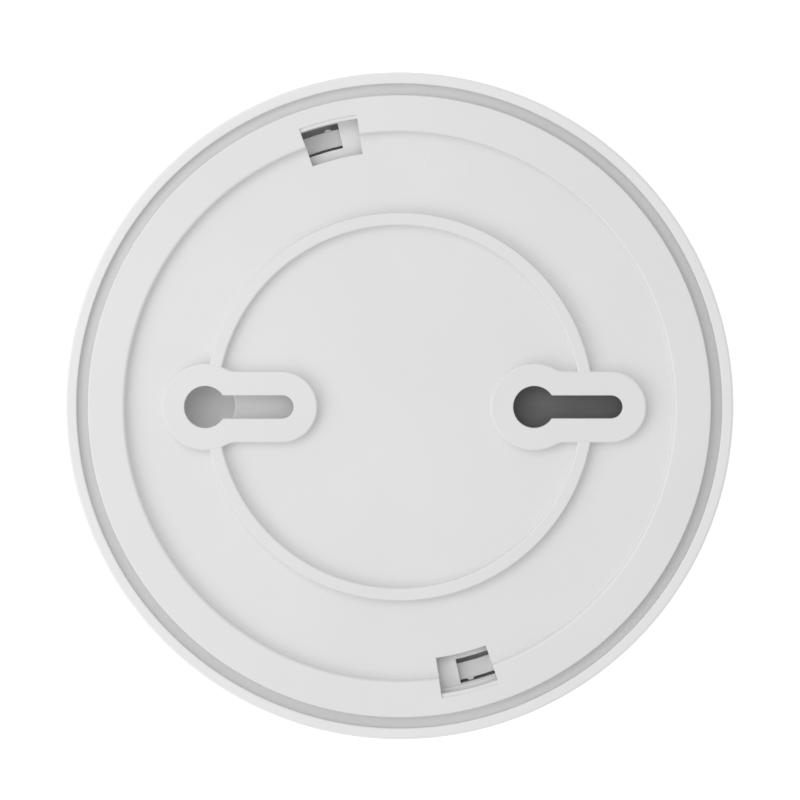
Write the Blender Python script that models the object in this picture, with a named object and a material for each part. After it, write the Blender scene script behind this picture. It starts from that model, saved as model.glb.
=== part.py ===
"""Round ceiling smoke detector seen from its mounting side.

The part hangs as it does on a ceiling: the mounting bracket's back face lies in
the plane Z = 0, the domed front faces down (-Z), and the bracket's bayonet axis
is the Z axis.  Working dimensions below are millimetres; every mesh is scaled
to metres when it is made.
"""

import math

import bmesh
import bpy
from mathutils import Matrix, Vector

# ---------------------------------------------------------------- dimensions
MM = 0.001

# mounting bracket
BRACKET_R = 56.75        # outer radius of the bracket
STEP_R = 50.4            # where the flat outer ring drops into the recess
RECESS_Z = -2.2          # back face of the recessed field
RECESS_UNDER_Z = -3.7    # room side of the recessed field
RING_UNDER_Z = -1.7      # room side of the outer ring
SKIRT_Z = -2.1           # lower edge of the bracket's skirt
RIB_R0, RIB_R1 = 33.3, 35.3
RIB_Z = -0.2
PAD_Z = -0.1
KEYHOLE_X = (-35.4, 24.6)    # head-hole centres, 60 mm apart
HEAD_R = 3.83
SLOT_HALF = 2.1
SLOT_RUN = 14.0          # head-hole centre to the slot's end centre
PAD_R = 7.95
PAD_HALF = 6.5
PAD_RUN = 13.95          # head-hole centre to the pad end's centre
PAD_FILLET = 3.6
PAD_WALL = 1.3          # wall left round the hollow under each pad
PAD_UNDER_Z = -1.6      # seat of the screw head, room side of the pad
WINDOW = (46.6, 53.8, 98.3, 109.8)     # inner radius, outer radius, from, to (degrees)
LIP_R, LIP_Z = 53.1, -0.4    # shallow lip along each window's outer side
HOOK_R = (48.65, 51.8)
HOOK_A = (98.9, 109.9, 112.6)          # foot's tip, arm's near side, arm's far side
HOOK_Z = (-8.0, -6.6)
HALF_TURN = (0.0, 180.0)

# rear cover
GROOVE_Z = -2.8          # floor of the groove round the bracket
REAR_R = 58.6
REAR_TOP = -4.6
POCKET_R = 52.75         # the pocket behind the bracket's recessed field
REAR_UNDER = -6.2
SLOT_R = (47.95, 52.6)
SLOT_A = (102.4, 121.5)
CATCH_A = 98.0           # where the pocket behind each hook slot starts, past the slot's end
CATCH_FLOOR = -9.4
CATCH_WALL = 1.2
DIMPLE_R, DIMPLE_FLOOR = 5.3, -7.6   # room for a screw head below the left head hole
BAY_X = (17.0, 44.5)
BAY_Y = (-24.9, 27.4)
BAY_FLOOR = -22.9
BAY_WALL = 1.4
BOSSES = ((-38.0, -22.0), (6.0, 40.0), (9.0, -43.0))
SNAP_ANGLES = (52.0, 142.0, 232.0, 322.0)

# front cover
COVER_R = 61.0
RIM_INNER_R = 58.9
RIM_TOP = -0.8
INLETS = 20
INLET_ROWS = ((-19.3, -17.3), (-22.9, -20.9))
BUTTON_HOLE_R = 12.3
PIPE_XY = (0.0, 18.5)
PIPE_HOLE_R = 1.8

# inside
BOARD_TOP, BOARD_UNDER = -12.4, -14.0
BOARD_R = 50.5
FIT = 0.3                # gap between pieces that rest on each other
CHAMBER_XY = (-24.0, 12.0)
SOUNDER_XY = (-13.0, -29.0)
BATTERY_X = (17.5, 44.0)
BATTERY_Y = (-24.3, 22.0)
BATTERY_Z = (-22.5, -5.0)
TERMINALS_X = (24.4, 37.1)

BIG_SEGMENTS = 60

# ---------------------------------------------------------------- clear scene
for old in list(bpy.data.objects):
    bpy.data.objects.remove(old, do_unlink=True)


# ---------------------------------------------------------------- helpers
def material(name, colour, roughness, metallic=0.0, alpha=1.0):
    mat = bpy.data.materials.new(name)
    mat.use_nodes = True
    shader = mat.node_tree.nodes["Principled BSDF"]
    shader.inputs["Base Color"].default_value = (*colour, 1.0)
    shader.inputs["Roughness"].default_value = roughness
    shader.inputs["Metallic"].default_value = metallic
    shader.inputs["Alpha"].default_value = alpha
    return mat


def finish_mesh(name, bm):
    bmesh.ops.recalc_face_normals(bm, faces=bm.faces)
    if bm.calc_volume(signed=True) < 0:
        bmesh.ops.reverse_faces(bm, faces=bm.faces)
    bmesh.ops.scale(bm, vec=(MM, MM, MM), verts=bm.verts)
    mesh = bpy.data.meshes.new(name)
    bm.to_mesh(mesh)
    bm.free()
    obj = bpy.data.objects.new(name, mesh)
    bpy.context.scene.collection.objects.link(obj)
    return obj


def turned(name, profile, segments=BIG_SEGMENTS, at=(0.0, 0.0)):
    """A closed (r, z) outline spun once round the vertical line through at."""
    bm = bmesh.new()
    verts = [bm.verts.new((r, 0.0, z)) for r, z in profile]
    on_axis = lambda v: abs(v.co.x) < 1e-9
    for a, b in zip(verts, verts[1:] + verts[:1]):
        if not (on_axis(a) and on_axis(b)):
            bm.edges.new((a, b))
    bmesh.ops.spin(
        bm, geom=bm.verts[:] + bm.edges[:], cent=(0, 0, 0), axis=(0, 0, 1),
        angle=2 * math.pi, steps=segments, use_merge=True,
    )
    bmesh.ops.remove_doubles(bm, verts=bm.verts, dist=1e-5)
    bmesh.ops.dissolve_degenerate(bm, edges=bm.edges, dist=1e-6)
    bmesh.ops.translate(bm, verts=bm.verts, vec=(at[0], at[1], 0))
    return finish_mesh(name, bm)


def prism_into(bm, outline, z0, z1):
    face = bm.faces.new([bm.verts.new((x, y, z0)) for x, y in outline])
    made = bmesh.ops.extrude_face_region(bm, geom=[face])
    top = [v for v in made["geom"] if isinstance(v, bmesh.types.BMVert)]
    bmesh.ops.translate(bm, verts=top, vec=(0, 0, z1 - z0))


def prisms(name, outlines, z0, z1):
    """Upright prisms over one or more plan outlines."""
    bm = bmesh.new()
    for outline in outlines:
        prism_into(bm, outline, z0, z1)
    return finish_mesh(name, bm)


def rectangle(x0, x1, y0, y1):
    return [(x0, y0), (x1, y0), (x1, y1), (x0, y1)]


def block(name, x, y, z):
    return prisms(name, [rectangle(x[0], x[1], y[0], y[1])], z[0], z[1])


def arc(cx, cy, r, a0, a1, n):
    """n + 1 points from angle a0 to a1, in degrees."""
    steps = [math.radians(a0 + (a1 - a0) * i / n) for i in range(n + 1)]
    return [(cx + r * math.cos(a), cy + r * math.sin(a)) for a in steps]


def rounded_rectangle(x0, x1, y0, y1, r, n=4):
    return (
        arc(x1 - r, y1 - r, r, 0, 90, n)
        + arc(x0 + r, y1 - r, r, 90, 180, n)
        + arc(x0 + r, y0 + r, r, 180, 270, n)
        + arc(x1 - r, y0 + r, r, 270, 360, n)
    )


def sector(r0, r1, a0, a1, n=4):
    return arc(0, 0, r1, a0, a1, n) + arc(0, 0, r0, a1, a0, n)


def disc(cx, cy, r, n=24):
    return arc(cx, cy, r, 0, 360 - 360 / n, n - 1)


def combined(obj, tool, operation):
    """obj with tool joined to it or cut from it; tool is used up."""
    modifier = obj.modifiers.new(operation.lower(), "BOOLEAN")
    modifier.operation = operation
    modifier.solver = "EXACT"
    modifier.object = tool
    graph = bpy.context.evaluated_depsgraph_get()
    mesh = bpy.data.meshes.new_from_object(obj.evaluated_get(graph))
    obj.modifiers.remove(modifier)
    old, obj.data = obj.data, mesh
    name = old.name
    bpy.data.meshes.remove(old)
    mesh.name = name
    bpy.data.objects.remove(tool, do_unlink=True)
    return obj


def joined(obj, *tools):
    for tool in tools:
        combined(obj, tool, "UNION")
    return obj


def cut(obj, *tools):
    for tool in tools:
        combined(obj, tool, "DIFFERENCE")
    return obj


def lying_along_y(obj, centre, length_from):
    """Turns an upright piece made at the origin so that its +Z runs along +Y."""
    turn = Matrix.Rotation(math.radians(-90), 4, "X")
    obj.data.transform(turn)
    obj.data.transform(
        Matrix.Translation(Vector((centre[0], length_from, centre[1])) * MM)
    )
    return obj


def settle(obj, mat, origin, parent=None):
    """Gives a finished piece its material, its own origin and its parent."""
    shift = Vector(origin) * MM
    obj.data.transform(Matrix.Translation(-shift))
    obj.location = shift
    obj.data.materials.clear()
    obj.data.materials.append(mat)
    obj.data.shade_smooth()
    obj.data.set_sharp_from_angle(angle=math.radians(32))
    if parent:
        obj.parent = parent
        bpy.context.view_layer.update()
        obj.matrix_parent_inverse = parent.matrix_world.inverted()
    return obj


def axis_empty(name, origin, parent=None):
    empty = bpy.data.objects.new(name, None)
    empty.empty_display_size = 0.01
    empty.location = Vector(origin) * MM
    bpy.context.scene.collection.objects.link(empty)
    if parent:
        empty.parent = parent
    bpy.context.view_layer.update()
    return empty


# ---------------------------------------------------------------- materials
white = material("white_abs", (0.83, 0.83, 0.82), 0.42)
white_bracket = material("white_abs_bracket", (0.82, 0.82, 0.81), 0.45)
button_plastic = material("button_plastic", (0.80, 0.80, 0.79), 0.38)
board_green = material("board_green", (0.03, 0.16, 0.07), 0.45)
chamber_black = material("chamber_black", (0.012, 0.012, 0.012), 0.75)
screen_steel = material("screen_steel", (0.50, 0.50, 0.50), 0.35, 1.0)
jacket_grey = material("jacket_grey", (0.10, 0.10, 0.105), 0.5)
nickel = material("nickel", (0.66, 0.65, 0.62), 0.28, 1.0)
brass = material("brass", (0.72, 0.53, 0.22), 0.3, 1.0)
ceramic = material("ceramic", (0.78, 0.76, 0.70), 0.35)
component_black = material("component_black", (0.02, 0.02, 0.022), 0.5)
sleeve_blue = material("sleeve_blue", (0.02, 0.03, 0.10), 0.35)
ferrite = material("ferrite", (0.05, 0.05, 0.05), 0.6)
clear_plastic = material("clear_plastic", (0.85, 0.88, 0.88), 0.12, 0.0, 0.6)
led_red = material("led_red", (0.5, 0.03, 0.02), 0.2)
dark_lens = material("dark_lens", (0.03, 0.015, 0.03), 0.15)
plated_steel = material("plated_steel", (0.55, 0.55, 0.56), 0.35, 1.0)

# joint axes: the detector turns on the bracket about Z; the button and the
# switch plunger slide along the same line
bayonet_axis = axis_empty("bayonet_axis", (0, 0, 0))
button_axis = axis_empty("button_axis", (0, 0, -36.0), bayonet_axis)
plunger_axis = axis_empty("plunger_axis", (0, 0, -18.0), bayonet_axis)


# ---------------------------------------------------------------- bracket
def keyhole(cx):
    """Head hole with a slot running towards +X."""
    meet = math.degrees(math.asin(SLOT_HALF / HEAD_R))
    return arc(cx, 0, HEAD_R, meet, 360 - meet, 20) + arc(
        cx + SLOT_RUN, 0, SLOT_HALF, -90, 90, 8
    )


def keyhole_pad(cx, inset=0.0):
    """Round boss over the head hole, running into a straight pad round the slot."""
    fillet = PAD_FILLET + inset
    fy = PAD_HALF + PAD_FILLET
    fx = math.sqrt((PAD_R + PAD_FILLET) ** 2 - fy**2)
    meet = math.degrees(math.atan2(fy, fx))
    upper = arc(cx + fx, fy, fillet, 270, 180 + meet, 3)
    lower = [(x, -y) for x, y in reversed(upper)]
    return (
        arc(cx + PAD_RUN, 0, PAD_HALF - inset, -90, 90, 10)
        + upper
        + arc(cx, 0, PAD_R - inset, meet, 360 - meet, 20)[1:-1]
        + lower
    )


bracket = turned("mounting_bracket", [
    (0, RECESS_Z), (STEP_R - 0.4, RECESS_Z), (STEP_R, -0.3), (STEP_R + 0.3, 0),
    (BRACKET_R - 0.4, 0), (BRACKET_R, -0.4), (BRACKET_R, SKIRT_Z),
    (BRACKET_R - 1.35, SKIRT_Z), (BRACKET_R - 1.35, RING_UNDER_Z),
    (STEP_R + 1.8, RING_UNDER_Z), (STEP_R + 0.8, RECESS_UNDER_Z), (0, RECESS_UNDER_Z),
])
joined(
    bracket,
    turned("rib", [(RIB_R0, -2.9), (RIB_R1, -2.9), (RIB_R1, RIB_Z), (RIB_R0, RIB_Z)]),
    prisms("pads", [keyhole_pad(x) for x in KEYHOLE_X], -3.1, PAD_Z),
)
cut(
    bracket,
    prisms("pad_hollows", [keyhole_pad(x, PAD_WALL) for x in KEYHOLE_X], -5, PAD_UNDER_Z),
    prisms("keyholes", [keyhole(x) for x in KEYHOLE_X], -5, 2),
    prisms("windows", [
        sector(WINDOW[0], LIP_R, WINDOW[2] + t, WINDOW[3] + t) for t in HALF_TURN
    ], -5, 2),
    prisms("window_lips", [
        sector(LIP_R - 1, WINDOW[1], WINDOW[2] + t, WINDOW[3] + t) for t in HALF_TURN
    ], LIP_Z, 2),
)
for turn in HALF_TURN:
    tip, near, far = (a + turn for a in HOOK_A)
    hook = prisms("hook", [sector(*HOOK_R, tip, far, 6)], *HOOK_Z)
    joined(
        hook,
        prisms("hook_arm", [sector(*HOOK_R, near, far, 2)], HOOK_Z[0] + 0.5, -2.4),
        prisms("hook_nub", [sector(51.4, 52.2, 104.1 + turn, 105.3 + turn, 1)],
               HOOK_Z[0] + 0.2, HOOK_Z[1] - 0.2),
    )
    joined(bracket, hook)
settle(bracket, white_bracket, (0, 0, 0))

# ---------------------------------------------------------------- rear cover
rear = turned("rear_cover", [
    (0, REAR_TOP), (POCKET_R, REAR_TOP), (POCKET_R + 0.2, GROOVE_Z), (REAR_R, GROOVE_Z),
    (REAR_R, -4.6), (55.0, -4.6), (54.4, REAR_UNDER), (0, REAR_UNDER),
])
joined(rear, prisms("bay", [rounded_rectangle(
    BAY_X[0] - BAY_WALL, BAY_X[1] + BAY_WALL, BAY_Y[0] - BAY_WALL, BAY_Y[1] + BAY_WALL, 3.0,
)], BAY_FLOOR - BAY_WALL, -5.4))
joined(rear, prisms("bosses", [disc(x, y, 3.2, 16) for x, y in BOSSES], BOARD_TOP + FIT, -5.6))
joined(rear, prisms("tongues", [
    sector(55.5, 56.7, a - 5, a + 5, 3) for a in SNAP_ANGLES], -8.2, -3.4))
joined(rear, prisms("barbs", [
    sector(56.0, 58.2, a - 4.6, a + 4.6, 3) for a in SNAP_ANGLES], -8.0, -6.8))
# closed pockets behind the hook slots; the hook's foot lies under the plate at one end
joined(rear, prisms("dimple_wall", [disc(KEYHOLE_X[0], 0, DIMPLE_R + 1.2, 28)], DIMPLE_FLOOR - 1.2, -5.4))
cut(rear, prisms("dimple", [disc(KEYHOLE_X[0], 0, DIMPLE_R, 28)], DIMPLE_FLOOR, -2))
joined(rear, prisms("catch_walls", [sector(
    SLOT_R[0] - CATCH_WALL, SLOT_R[1] + CATCH_WALL, CATCH_A + t - 1.3, SLOT_A[1] + t + 1.3, 6)
    for t in HALF_TURN], CATCH_FLOOR - 1.0, -5.4))
cut(rear, prisms("catches", [
    sector(*SLOT_R, CATCH_A + t, SLOT_A[1] + t, 6) for t in HALF_TURN], CATCH_FLOOR, REAR_UNDER))
cut(
    rear,
    prisms("bay_inside", [rounded_rectangle(*BAY_X, *BAY_Y, 1.6)], BAY_FLOOR, 0),
    prisms("hook_slots", [
        sector(*SLOT_R, SLOT_A[0] + t, SLOT_A[1] + t, 6) for t in HALF_TURN], -7, -2),
    prisms("boss_holes", [disc(x, y, 1.5, 12) for x, y in BOSSES], -13, -6.9),
    prisms("contact_slots", [
        rectangle(x - 1.4, x + 1.4, 26.5, 30.0) for x in TERMINALS_X], -12.5, -11.1),
)
settle(rear, white, (0, 0, REAR_TOP), bayonet_axis)

# ---------------------------------------------------------------- front cover
front = turned("front_cover", [
    (RIM_INNER_R, -5.0), (RIM_INNER_R, RIM_TOP - 0.3), (RIM_INNER_R + 0.3, RIM_TOP),
    (60.4, RIM_TOP), (60.85, RIM_TOP - 0.25), (COVER_R, RIM_TOP - 0.8), (COVER_R, -5.0),
    (60.7, -12.0), (59.9, -23.6), (58.2, -28.4), (55.0, -31.6),
    (49.8, -33.9), (41.0, -35.3), (26.0, -36.0), (0, -36.2),
    (0, -34.2), (26.0, -34.0), (40.8, -33.2), (48.9, -31.9),
    (53.7, -29.7), (56.4, -27.0), (57.9, -23.2), (58.7, -12.0),
    (58.9, -6.6), (57.0, -6.2), (57.0, -5.0),
])
for low, high in INLET_ROWS:
    cut(front, prisms("inlets", [
        sector(55, 63, 360 / INLETS * i + 1.6, 360 / INLETS * i + 16.4, 1)
        for i in range(INLETS)
    ], low, high))
sounder_slots = []
for i in range(5):
    y = SOUNDER_XY[1] + 3.2 * (i - 2)
    half = math.sqrt(max(9.5**2 - (3.2 * (i - 2)) ** 2, 0))
    x0, x1 = SOUNDER_XY[0] - half, SOUNDER_XY[0] + half
    sounder_slots.append(arc(x1, y, 0.8, -90, 90, 4) + arc(x0, y, 0.8, 90, 270, 4))
cut(
    front,
    prisms("button_hole", [disc(0, 0, BUTTON_HOLE_R, 32)], -40, -30),
    prisms("pipe_hole", [disc(*PIPE_XY, PIPE_HOLE_R, 16)], -40, -30),
    prisms("sounder_slots", sounder_slots, -40, -30),
)
settle(front, white, (0, 0, -20.0), bayonet_axis)

# ---------------------------------------------------------------- button
button = turned("test_button", [
    (0, -37.2), (6.0, -37.05), (10.4, -36.65), (11.6, -36.25), (12.0, -35.7),
    (12.0, -33.9), (13.4, -33.9), (13.4, -32.9), (10.7, -32.9), (10.7, -34.9),
    (2.3, -35.1), (2.3, -19.6), (0, -19.6),
], 32)
settle(button, button_plastic, (0, 0, -36.0), button_axis)

pipe = turned("light_pipe", [
    (0, -36.35), (1.0, -36.25), (1.5, -35.9), (1.5, -33.6), (2.6, -33.6), (2.6, -32.8),
    (1.5, -32.8), (1.5, -18.9), (0, -18.9),
], 12, PIPE_XY)
settle(pipe, clear_plastic, (*PIPE_XY, -33.0), bayonet_axis)

# ---------------------------------------------------------------- circuit board
board = turned("circuit_board", [
    (0, BOARD_TOP), (BOARD_R, BOARD_TOP), (BOARD_R, BOARD_UNDER), (0, BOARD_UNDER)], 48)
cut(
    board,
    block("bay_notch", (BAY_X[0] - BAY_WALL - 0.4, 60), (-60, BAY_Y[1] + BAY_WALL + 0.5), (-20, -8)),
    prisms("screw_holes", [disc(x, y, 1.6, 12) for x, y in BOSSES], -20, -8),
)
settle(board, board_green, (0, 0, BOARD_UNDER), bayonet_axis)

for i, (x, y) in enumerate(BOSSES, 1):
    head = BOARD_UNDER - FIT
    screw = turned(f"board_screw_{i}", [
        (0, head - 1.7), (1.6, head - 1.6), (2.6, head - 1.1), (2.8, head - 0.5), (2.8, head),
        (1.2, head), (1.2, -7.9), (0, -7.2),
    ], 12, (x, y))
    cut(screw, prisms("cross", [rectangle(x - 1.5, x + 1.5, y - 0.25, y + 0.25)],
                      head - 3, head - 0.9))
    cut(screw, prisms("cross", [rectangle(x - 0.25, x + 0.25, y - 1.5, y + 1.5)],
                      head - 3, head - 0.9))
    settle(screw, plated_steel, (x, y, head), bayonet_axis)

# ---------------------------------------------------------------- sensing chamber
cx, cy = CHAMBER_XY
base_z = BOARD_UNDER - FIT
chamber_base = turned("chamber_base", [
    (0, base_z), (20.5, base_z), (20.5, base_z - 1.6), (0, base_z - 1.6)], 32, CHAMBER_XY)
fins = []
LED_ANGLES = (160.0, 40.0)       # light source and receiver, seen from the chamber's centre
for i in range(20):
    a = 18.0 * i + 10.0
    if any(abs((a - b + 180) % 360 - 180) < 14 for b in LED_ANGLES):
        continue
    spine = [(15.2, a - 8), (17.6, a + 3), (19.5, a - 3)]
    near = [(r * math.cos(math.radians(t)), r * math.sin(math.radians(t))) for r, t in spine]
    far = [((r) * math.cos(math.radians(t + 3.4)), (r) * math.sin(math.radians(t + 3.4)))
           for r, t in reversed(spine)]
    fins.append([(cx + x, cy + y) for x, y in near + far])
blocks = []
for a in LED_ANGLES:
    u = (math.cos(math.radians(a)), math.sin(math.radians(a)))
    v = (-u[1], u[0])
    blocks.append([
        (cx + u[0] * r + v[0] * w, cy + u[1] * r + v[1] * w)
        for r, w in ((13.0, -2.6), (19.0, -2.6), (19.0, 2.6), (13.0, 2.6))
    ])
joined(
    chamber_base,
    prisms("fins", fins, -26.6, base_z - 1.0),
    prisms("holders", blocks, -18.7, base_z - 1.0),
)
settle(chamber_base, chamber_black, (cx, cy, base_z), bayonet_axis)
chamber_cap = turned("chamber_cap", [
    (0, -27.0), (20.9, -27.0), (20.9, -25.0), (21.9, -25.0), (21.9, -28.0), (21.4, -28.5),
    (0, -28.5)], 32, CHAMBER_XY)
settle(chamber_cap, chamber_black, (cx, cy, -27.0), bayonet_axis)
screen = turned("insect_screen", [
    (20.0, -26.7), (20.4, -26.7), (20.4, -16.2), (20.0, -16.2)], 32, CHAMBER_XY)
settle(screen, screen_steel, (cx, cy, -21.0), bayonet_axis)
for name, a, mat in (("ir_emitter", LED_ANGLES[0], dark_lens), ("photodiode", LED_ANGLES[1], dark_lens)):
    lamp = turned(name, [
        (0, 0), (0.9, 0.35), (1.5, 1.2), (1.5, 4.4), (1.8, 4.4), (1.8, 5.4), (0, 5.4)], 14)
    lamp.data.transform(Matrix.Rotation(math.radians(90), 4, "Y"))
    lamp.data.transform(Matrix.Translation(Vector((13.2, 0, 0)) * MM))
    lamp.data.transform(Matrix.Rotation(math.radians(a), 4, "Z"))
    lamp.data.transform(Matrix.Translation(Vector((cx, cy, -20.9)) * MM))
    settle(lamp, mat, (cx, cy, -20.9), bayonet_axis)

# ---------------------------------------------------------------- sounder
sx, sy = SOUNDER_XY
housing = turned("sounder_housing", [
    (3.5, -31.8), (13.6, -31.8), (14.3, -31.1), (14.3, -18.6), (13.3, -18.6), (13.3, -21.0),
    (12.2, -21.0), (12.2, -30.4), (3.5, -30.4)], 28, SOUNDER_XY)
joined(housing, prisms("legs", [
    [(sx + x, sy + y) for x, y in sector(13.4, 14.2, a - 9, a + 9, 2)] for a in (60, 180, 300)
], -19.5, base_z))
settle(housing, white, (sx, sy, -25.0), bayonet_axis)
settle(turned("piezo_disc", [(0, -20.4), (13.0, -20.4), (13.0, -20.7), (0, -20.7)], 24, SOUNDER_XY),
       brass, (sx, sy, -20.7), bayonet_axis)
settle(turned("piezo_ceramic", [(0, -19.85), (9.0, -19.85), (9.0, -20.1), (0, -20.1)], 24, SOUNDER_XY),
       ceramic, (sx, sy, -20.1), bayonet_axis)
for name, dx, low in (("sounder_contact_centre", 0.0, -19.5), ("sounder_contact_edge", 11.0, -20.1)):
    settle(turned(name, [
        (0, low), (0.5, low), (1.0, low + 0.5), (1.0, base_z - 1.2), (1.4, base_z - 1.0),
        (1.4, base_z), (0, base_z)], 12, (sx + dx, sy)),
        nickel, (sx + dx, sy, base_z), bayonet_axis)

# ---------------------------------------------------------------- battery
bz = (BATTERY_Z[0] + BATTERY_Z[1]) / 2
length = BATTERY_Y[1] - BATTERY_Y[0]
battery = prisms("battery_body", [rounded_rectangle(
    -13.25, 13.25, -8.75, 8.75, 2.2, 5)], 0, length)
lying_along_y(battery, ((BATTERY_X[0] + BATTERY_X[1]) / 2, bz), BATTERY_Y[0])
settle(battery, jacket_grey, ((BATTERY_X[0] + BATTERY_X[1]) / 2, 0, bz), bayonet_axis)
for name, x, r in (("battery_terminal_pos", TERMINALS_X[0], 2.85), ("battery_terminal_neg", TERMINALS_X[1], 4.0)):
    stud = turned(name, [(0, 0), (r, 0), (r, 1.8), (r - 0.4, 2.2), (0, 2.2)], 16 if r < 3 else 6)
    lying_along_y(stud, (x, bz), BATTERY_Y[1] + FIT)
    settle(stud, nickel, (x, BATTERY_Y[1] + FIT, bz), bayonet_axis)
for name, x in (("battery_contact_pos", TERMINALS_X[0]), ("battery_contact_neg", TERMINALS_X[1])):
    plate = turned(name, [(0, 0), (4.2, 0), (4.2, 1.2), (0, 1.2)], 20)
    lying_along_y(plate, (x, bz), BATTERY_Y[1] + 2 * FIT + 2.2)
    joined(plate, block("tail", (x - 1.1, x + 1.1), (25.6, 33.5), (-12.1, -11.5)))
    settle(plate, nickel, (x, 25.5, bz), bayonet_axis)

# ---------------------------------------------------------------- small components
switch = block("switch_body", (-3.1, 3.1), (-3.1, 3.1), (-17.6, base_z))
cut(switch, prisms("well", [disc(0, 0, 2.0, 16)], -18.5, -15.6))
settle(switch, component_black, (0, 0, base_z), bayonet_axis)
plunger = turned("switch_plunger", [
    (0, -19.3), (1.4, -19.3), (1.7, -19.0), (1.7, -16.8), (0, -16.8)], 16)
settle(plunger, component_black, (0, 0, -18.0), plunger_axis)

settle(prisms("microcontroller", [rounded_rectangle(4.2, 11.2, 4.8, 11.8, 0.4, 1)], base_z - 1.4, base_z),
       component_black, (7.7, 8.3, base_z), bayonet_axis)
settle(block("sounder_driver", (3.6, 8.6), (-15.9, -11.9), (base_z - 1.5, base_z)),
       component_black, (6.1, -13.9, base_z), bayonet_axis)
settle(block("crystal", (-7.5, -4.0), (-9.2, -4.4), (base_z - 1.0, base_z)),
       nickel, (-5.7, -6.8, base_z), bayonet_axis)
settle(turned("boost_coil", [
    (0, base_z), (4.0, base_z), (4.0, base_z - 1.2), (2.6, base_z - 1.6), (2.6, base_z - 4.8),
    (4.0, base_z - 5.2), (4.0, base_z - 6.2), (0, base_z - 6.2)], 16, (9.0, -23.5)),
    ferrite, (9.0, -23.5, base_z), bayonet_axis)
settle(turned("capacitor", [
    (0, base_z), (3.1, base_z), (3.1, base_z - 1.0), (2.8, base_z - 1.4), (3.1, base_z - 1.8),
    (3.1, base_z - 7.6), (2.7, base_z - 8.0), (0, base_z - 8.0)], 16, (9.5, -33.5)),
    sleeve_blue, (9.5, -33.5, base_z), bayonet_axis)
settle(turned("status_led", [
    (0, base_z), (1.9, base_z), (1.9, base_z - 0.9), (1.5, base_z - 0.9), (1.5, base_z - 3.0),
    (0.9, base_z - 4.0), (0, base_z - 4.3)], 14, PIPE_XY),
    led_red, (*PIPE_XY, base_z), bayonet_axis)
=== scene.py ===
import math

import bmesh
import bpy
from mathutils import Matrix, Vector


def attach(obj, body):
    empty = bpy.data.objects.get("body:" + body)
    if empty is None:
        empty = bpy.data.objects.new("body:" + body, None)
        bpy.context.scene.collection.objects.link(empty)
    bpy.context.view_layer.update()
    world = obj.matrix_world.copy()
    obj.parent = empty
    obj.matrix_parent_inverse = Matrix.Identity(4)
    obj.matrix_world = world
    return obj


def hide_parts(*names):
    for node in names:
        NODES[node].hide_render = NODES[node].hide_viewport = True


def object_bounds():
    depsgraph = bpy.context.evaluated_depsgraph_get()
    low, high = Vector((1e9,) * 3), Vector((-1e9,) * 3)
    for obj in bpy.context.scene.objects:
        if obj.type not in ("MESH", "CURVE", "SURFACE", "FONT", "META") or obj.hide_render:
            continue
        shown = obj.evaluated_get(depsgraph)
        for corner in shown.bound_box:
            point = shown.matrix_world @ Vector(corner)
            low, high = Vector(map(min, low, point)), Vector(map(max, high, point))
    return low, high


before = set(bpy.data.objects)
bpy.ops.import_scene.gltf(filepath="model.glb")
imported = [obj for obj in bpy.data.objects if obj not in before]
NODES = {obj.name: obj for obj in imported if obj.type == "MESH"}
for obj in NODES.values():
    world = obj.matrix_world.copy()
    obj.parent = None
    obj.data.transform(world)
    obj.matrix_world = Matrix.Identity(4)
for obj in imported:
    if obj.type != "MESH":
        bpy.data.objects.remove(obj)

CAD_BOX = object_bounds()
MM = 0.001

# ------------------------------------------------------------------ sizes, mm
BRACKET_R = 56.75
STEP_R = 50.4
RECESS_Z, RECESS_UNDER_Z, RING_UNDER_Z, SKIRT_Z = -2.2, -3.7, -1.7, -2.1
RIB_R0, RIB_R1, RIB_Z = 33.3, 35.3, -0.2
PAD_Z, PAD_UNDER_Z, PAD_WALL = -0.1, -1.6, 1.3
KEYHOLE_X = (-35.4, 24.6)
HEAD_R, SLOT_HALF, SLOT_RUN = 3.83, 2.1, 14.0
PAD_R, PAD_HALF, PAD_RUN, PAD_FILLET = 7.95, 6.5, 13.95, 3.6
WINDOW = (46.6, 53.8, 98.3, 109.8)
LIP_R, LIP_Z = 53.1, -0.4
HOOK_R, HOOK_A, HOOK_Z = (48.65, 51.8), (98.9, 109.9, 112.6), (-8.0, -6.6)
GROOVE_Z, REAR_R, REAR_TOP, REAR_UNDER = -2.8, 58.6, -4.6, -6.2
SLOT_R, SLOT_A = (47.95, 52.6), (102.4, 121.5)
POCKET_R, PLAY_Y = 52.75, 0.3    # rear cover's pocket, and how far it and the slots sit towards +Y
CATCH_A, CATCH_FLOOR, CATCH_WALL = 98.0, -9.4, 1.2
DIMPLE_R, DIMPLE_FLOOR = 5.3, -7.6
BAY_X, BAY_Y, BAY_FLOOR, BAY_WALL = (17.0, 44.5), (-24.9, 27.4), -22.9, 1.4
BOARD_TOP, BOARD_UNDER, FIT = -12.4, -14.0, 0.3
BOSSES = ((-38.0, -22.0), (6.0, 40.0), (9.0, -43.0))
SNAP_ANGLES = (52.0, 142.0, 232.0, 322.0)
TERMINALS_X = (24.4, 37.1)
SOUNDER_XY = (-13.0, -29.0)
PIPE_XY = (0.0, 18.5)
INLETS = 20
INLET_ROWS = ((-19.3, -17.3), (-22.9, -20.9))
HALF_TURN = (0.0, 180.0)
FINE = 200               # segments round the big turned shells


# ------------------------------------------------------------------ mesh tools
def from_bmesh(name, bm):
    """Pieces are made in millimetres; shade() scales them to metres once they are whole."""
    mesh = bpy.data.meshes.new(name)
    bm.to_mesh(mesh)
    bm.free()
    obj = bpy.data.objects.new(name, mesh)
    bpy.context.scene.collection.objects.link(obj)
    return obj


def outward(bm):
    bmesh.ops.recalc_face_normals(bm, faces=bm.faces)
    if bm.calc_volume(signed=True) < 0:
        bmesh.ops.reverse_faces(bm, faces=bm.faces)


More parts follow.
